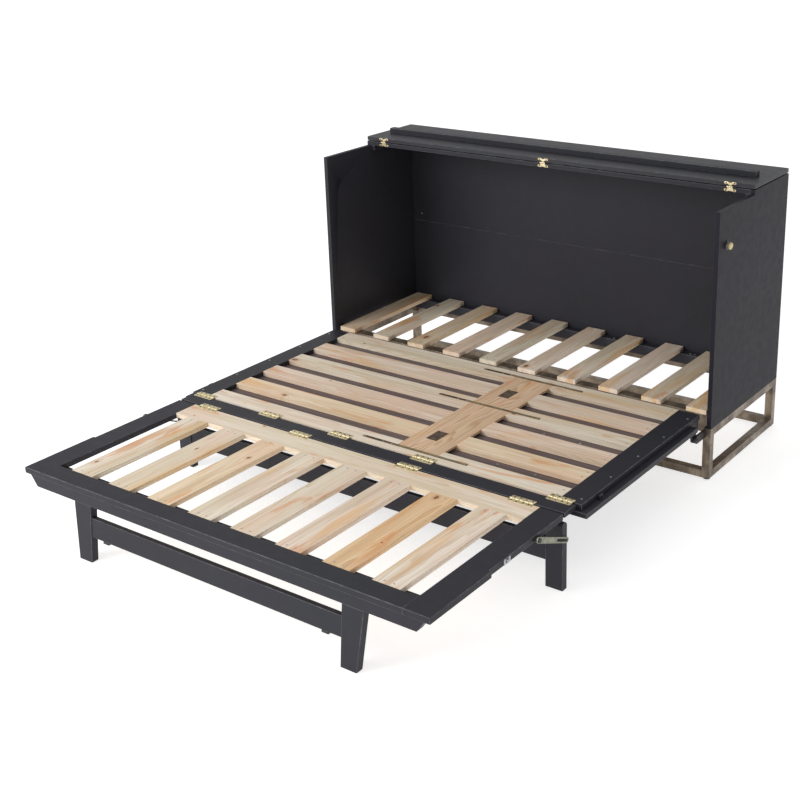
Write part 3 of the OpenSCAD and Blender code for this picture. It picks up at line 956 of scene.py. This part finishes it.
def flat_bar(name, kind, ends, middle, half, top, deep, eased):
    """A flat bar along X with round ends; eased rounds its upper rim."""
    bm = bmesh.new()
    outline = arc((ends[1] - half, middle), half, -90, 180, 8)
    outline += arc((ends[0] + half, middle), half, 90, 180, 8)
    base = [bm.verts.new((x, y, top - deep)) for x, y in outline]
    bm.faces.new(base)
    grown = bmesh.ops.extrude_face_region(bm, geom=bm.faces[:])
    for v in grown["geom"]:
        if isinstance(v, bmesh.types.BMVert):
            v.co.z = top
    if eased:
        rim = [e for e in bm.edges if e.verts[0].co.z == top and e.verts[1].co.z == top]
        ease_edges(bm, rim, 0.35 * MM)
    stand_in(bm, name, "tie_straps", kind)


def strap(low, high, name):
    """A dark strip, painted shade of the recess the strap lies in, with a lighter bar screwed on
    over its right part; returns its screws.
    """
    half, middle = (high.y - low.y) / 2, (high.y + low.y) / 2
    length = high.x - low.x
    ends = (low.x, high.x)
    # Painted shade: the dark strip under the bar stands in for the shade of the recess.
    flat_bar(name + "_base", "strap_base", ends, middle, half, high.z, GROOVE_SHADE_DEEP, True)
    start, end, top = low.x + BAR_START * length, high.x - 2 * MM, high.z + BAR_UP
    flat_bar(name + "_bar", "strap_steel", (start, end), middle, BAR_HALF, top, BAR_DEEP, False)
    return [
        Vector((low.x + half + 2 * MM, middle, high.z)),
        Vector((low.x + 0.2 * length, middle, high.z)),
        Vector((start + 8 * MM, middle, top)),
        Vector((end - 7 * MM, middle, top)),
    ]


points = []
for i, (low, high) in enumerate(islands("tie_straps"), 1):
    points += strap(low, high, f"tie_strap_{i}")
screws("tie_strap_screws", "middle_section", points, Z, 3.4, 1.2)

# Yarns of a pad along X and along Y, how finely each is drawn, and how far they stand up.
WARP, WEFT, PER_YARN = 14, 24, 6
CROWN, WEAVE = 0.4 * MM, 0.6 * MM
HEM_YARNS, HEM_DROP = 0.6, 1.2 * MM


def woven(i, j, steps_x, steps_y):
    """Height of plain weave at a grid point, its yarns raised and sunk in turn."""
    wave_x, wave_y = (math.sin(math.pi * k / PER_YARN) for k in (i, j))
    crown = (abs(wave_x) + abs(wave_y)) * 0.5
    from_edge = min(i, steps_x - i, j, steps_y - j) / PER_YARN
    hem = max(0.0, HEM_YARNS - from_edge) * HEM_DROP
    return CROWN * crown + WEAVE * wave_x * wave_y - hem


def webbing(low, high, name):
    """A rectangle of plain woven webbing, let into the wood."""
    steps_x, steps_y = WARP * PER_YARN, WEFT * PER_YARN
    size = high - low
    bm = bmesh.new()
    grid = []
    for j in range(steps_y + 1):
        row = []
        for i in range(steps_x + 1):
            x, y = low.x + size.x * i / steps_x, low.y + size.y * j / steps_y
            row.append(bm.verts.new((x, y, high.z + woven(i, j, steps_x, steps_y))))
        grid.append(row)
    for a, b in zip(grid, grid[1:]):
        for i in range(steps_x):
            bm.faces.new((a[i], a[i + 1], b[i + 1], b[i]))
    rim = [e for e in bm.edges if e.is_boundary]
    skirt = bmesh.ops.extrude_edge_only(bm, edges=rim)["geom"]
    for v in skirt:
        if isinstance(v, bmesh.types.BMVert):
            v.co.z = low.z
    under = [e for e in skirt if isinstance(e, bmesh.types.BMEdge) and e.is_boundary]
    bmesh.ops.contextual_create(bm, geom=under)
    stand_in(bm, name, "webbing_pads", "webbing", 60)


for i, (low, high) in enumerate(islands("webbing_pads"), 1):
    webbing(low, high, f"webbing_pad_{i}")


# ---------------------------------------------------------------- camera, light, floor

# Where the camera stands, and its turn, downward tilt and roll in radians.
EYE = Vector((2.5358, -3.3362, 2.0307))
YAW, PITCH, ROLL = 0.6349, 0.3235, -0.0248
LENS, SENSOR, SHIFT_X, SHIFT_Y = 59.87, 36, -0.05, -0.12

forward = Vector(
    (-math.sin(YAW) * math.cos(PITCH), math.cos(YAW) * math.cos(PITCH), -math.sin(PITCH))
)
right = Vector((math.cos(YAW), math.sin(YAW), 0))
up = right.cross(forward)
x_axis = right * math.cos(ROLL) + up * math.sin(ROLL)
y_axis = up * math.cos(ROLL) - right * math.sin(ROLL)
turn = Matrix((x_axis, y_axis, -forward)).transposed().to_4x4()
camera_data = bpy.data.cameras.new("camera")
camera_data.lens, camera_data.sensor_width = LENS, SENSOR
camera_data.shift_x, camera_data.shift_y = SHIFT_X, SHIFT_Y
camera = bpy.data.objects.new("camera", camera_data)
camera.matrix_world = Matrix.Translation(EYE) @ turn
bpy.context.scene.collection.objects.link(camera)
bpy.context.scene.camera = camera


def studio_floor(reach, below):
    """A white floor that glows a little, so that it stays white away from the bed."""
    bm = bmesh.new()
    bmesh.ops.create_grid(bm, x_segments=8, y_segments=8, size=reach)
    mesh = bpy.data.meshes.new("floor")
    bm.to_mesh(mesh)
    bm.free()
    s = Shader("studio_floor")
    shade = s.noise(s.place(), 3.0, 3)
    s.surface(
        Base_Color=s.ramp(shade, (0.6, 0.6, 0.6, 1), (0.64, 0.64, 0.64, 1)),
        Roughness=0.9,
        Emission_Color=(1, 1, 1, 1),
        Emission_Strength=0.69,
    )
    mesh.materials.append(s.material)
    floor = bpy.data.objects.new("floor", mesh)
    floor.location.z = -below
    bpy.context.scene.collection.objects.link(floor)


def softbox(name, place, target, size, watts):
    """A rectangular lamp that faces its target."""
    data = bpy.data.lights.new(name, "AREA")
    data.shape, data.size, data.size_y, data.energy = "RECTANGLE", size[0], size[1], watts
    lamp = bpy.data.objects.new(name, data)
    lamp.location = place
    lamp.rotation_euler = (Vector(target) - Vector(place)).to_track_quat("-Z", "Y").to_euler()
    bpy.context.scene.collection.objects.link(lamp)


def studio_world(left, right):
    """White surroundings whose strength fades from the left side to the right side."""
    world = bpy.data.worlds.new("world")
    world.use_nodes = True
    tree = world.node_tree
    facing = tree.nodes.new("ShaderNodeSeparateXYZ")
    tree.links.new(tree.nodes.new("ShaderNodeTexCoord").outputs[0], facing.inputs[0])
    fade = tree.nodes.new("ShaderNodeMapRange")
    for index, value in enumerate((0.1, 0.9, left, right), 1):
        fade.inputs[index].default_value = value
    tree.links.new(facing.outputs[0], fade.inputs[0])
    background = tree.nodes["Background"]
    background.inputs[0].default_value = (1, 1, 1, 1)
    tree.links.new(fade.outputs[0], background.inputs[1])
    bpy.context.scene.world = world


studio_floor(60, 0.5 * MM)
softbox("key", (-2.6, -4.4, 2.9), (0.2, 0.1, 0.4), (3.0, 2.4), 170)
studio_world(0.7, 0.42)
bpy.context.scene.view_settings.view_transform = "Standard"
bpy.context.scene.view_settings.look = "None"
